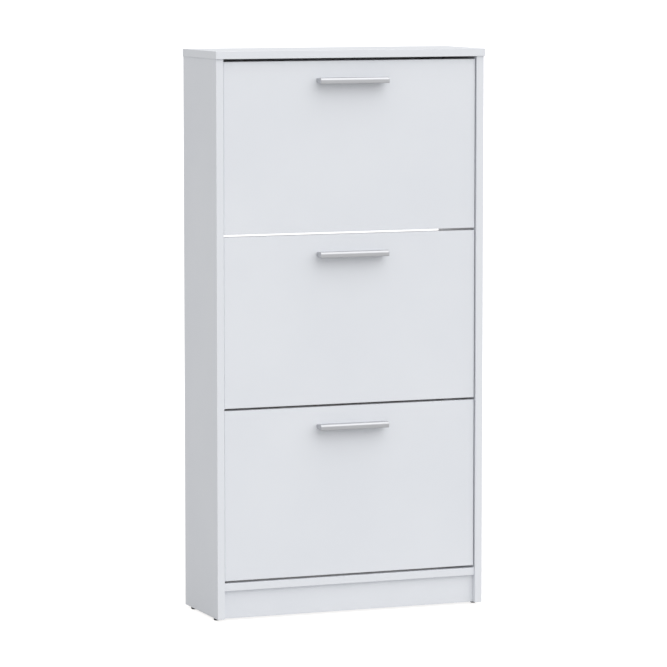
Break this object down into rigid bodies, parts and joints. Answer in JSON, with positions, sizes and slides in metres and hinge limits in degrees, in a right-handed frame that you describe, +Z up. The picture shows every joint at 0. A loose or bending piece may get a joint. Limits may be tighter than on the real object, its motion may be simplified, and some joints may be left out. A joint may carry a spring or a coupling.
{
  "type": "shoe cabinet",
  "caption": "Slim white shoe cabinet with tilting flap fronts, silver grips, an overhanging top and a set-back plinth; each flap carries a shoe pocket.",
  "frame": {"origin": "on the floor, at the middle of the whole object's width and depth", "axes": "+X to the right seen from the front, +Y to the back (the wall), +Z up"},
  "size_m": [0.603, 0.226, 1.188],
  "materials": {
    "white_board": "white melamine",
    "white_fibreboard": "white-faced thin fibreboard",
    "handle_metal": "satin",
    "white_plastic": "moulded, fine texture",
    "black_plastic": "moulded",
    "zinc_steel": "zinc plated",
    "beech": "bare, fluted"
  },
  "bodies": {
    "root": {"side_panel_left": "white_board", "side_panel_right": "white_board", "top_panel": "white_board", "bottom_shelf": "white_board", "plinth_board": "white_board", "rear_rail_top": "white_board", "rear_rail_lower": "white_board", "glide_front_left": "black_plastic", "glide_front_right": "black_plastic", "glide_rear_left": "black_plastic", "glide_rear_right": "black_plastic", "cam_housings": "zinc_steel", "cam_bolts": "zinc_steel", "cam_caps": "white_plastic", "dowels": "beech", "pivot_screws": "zinc_steel", "stop_pins": "zinc_steel", "pivot_pin_lower_left": "white_plastic", "pivot_pin_lower_right": "white_plastic", "pivot_pin_middle_left": "white_plastic", "pivot_pin_middle_right": "white_plastic", "pivot_pin_upper_left": "white_plastic", "pivot_pin_upper_right": "white_plastic"},
    "lower_flap": {"flap_panel_lower": "white_board", "handle_lower": "handle_metal", "handle_screws_lower": "zinc_steel", "bracket_left_lower": "white_plastic", "bracket_right_lower": "white_plastic", "bracket_screws_lower": "zinc_steel", "floor_board_lower": "white_fibreboard", "rear_board_lower": "white_fibreboard"},
    "middle_flap": {"flap_panel_middle": "white_board", "handle_middle": "handle_metal", "handle_screws_middle": "zinc_steel", "bracket_left_middle": "white_plastic", "bracket_right_middle": "white_plastic", "bracket_screws_middle": "zinc_steel", "floor_board_middle": "white_fibreboard", "rear_board_middle": "white_fibreboard"},
    "upper_flap": {"flap_panel_upper": "white_board", "handle_upper": "handle_metal", "handle_screws_upper": "zinc_steel", "bracket_left_upper": "white_plastic", "bracket_right_upper": "white_plastic", "bracket_screws_upper": "zinc_steel", "floor_board_upper": "white_fibreboard", "rear_board_upper": "white_fibreboard"}
  },
  "joints": [
    {"name": "lower_tilt", "type": "hinge", "parent": "root", "child": "lower_flap", "pos_m": [0, -0.061, 0.185], "axis": [1, 0, 0], "range_deg": [0, 40]},
    {"name": "middle_tilt", "type": "hinge", "parent": "root", "child": "middle_flap", "pos_m": [0, -0.061, 0.547], "axis": [1, 0, 0], "range_deg": [0, 40]},
    {"name": "upper_tilt", "type": "hinge", "parent": "root", "child": "upper_flap", "pos_m": [0, -0.061, 0.909], "axis": [1, 0, 0], "range_deg": [0, 40]}
  ]
}
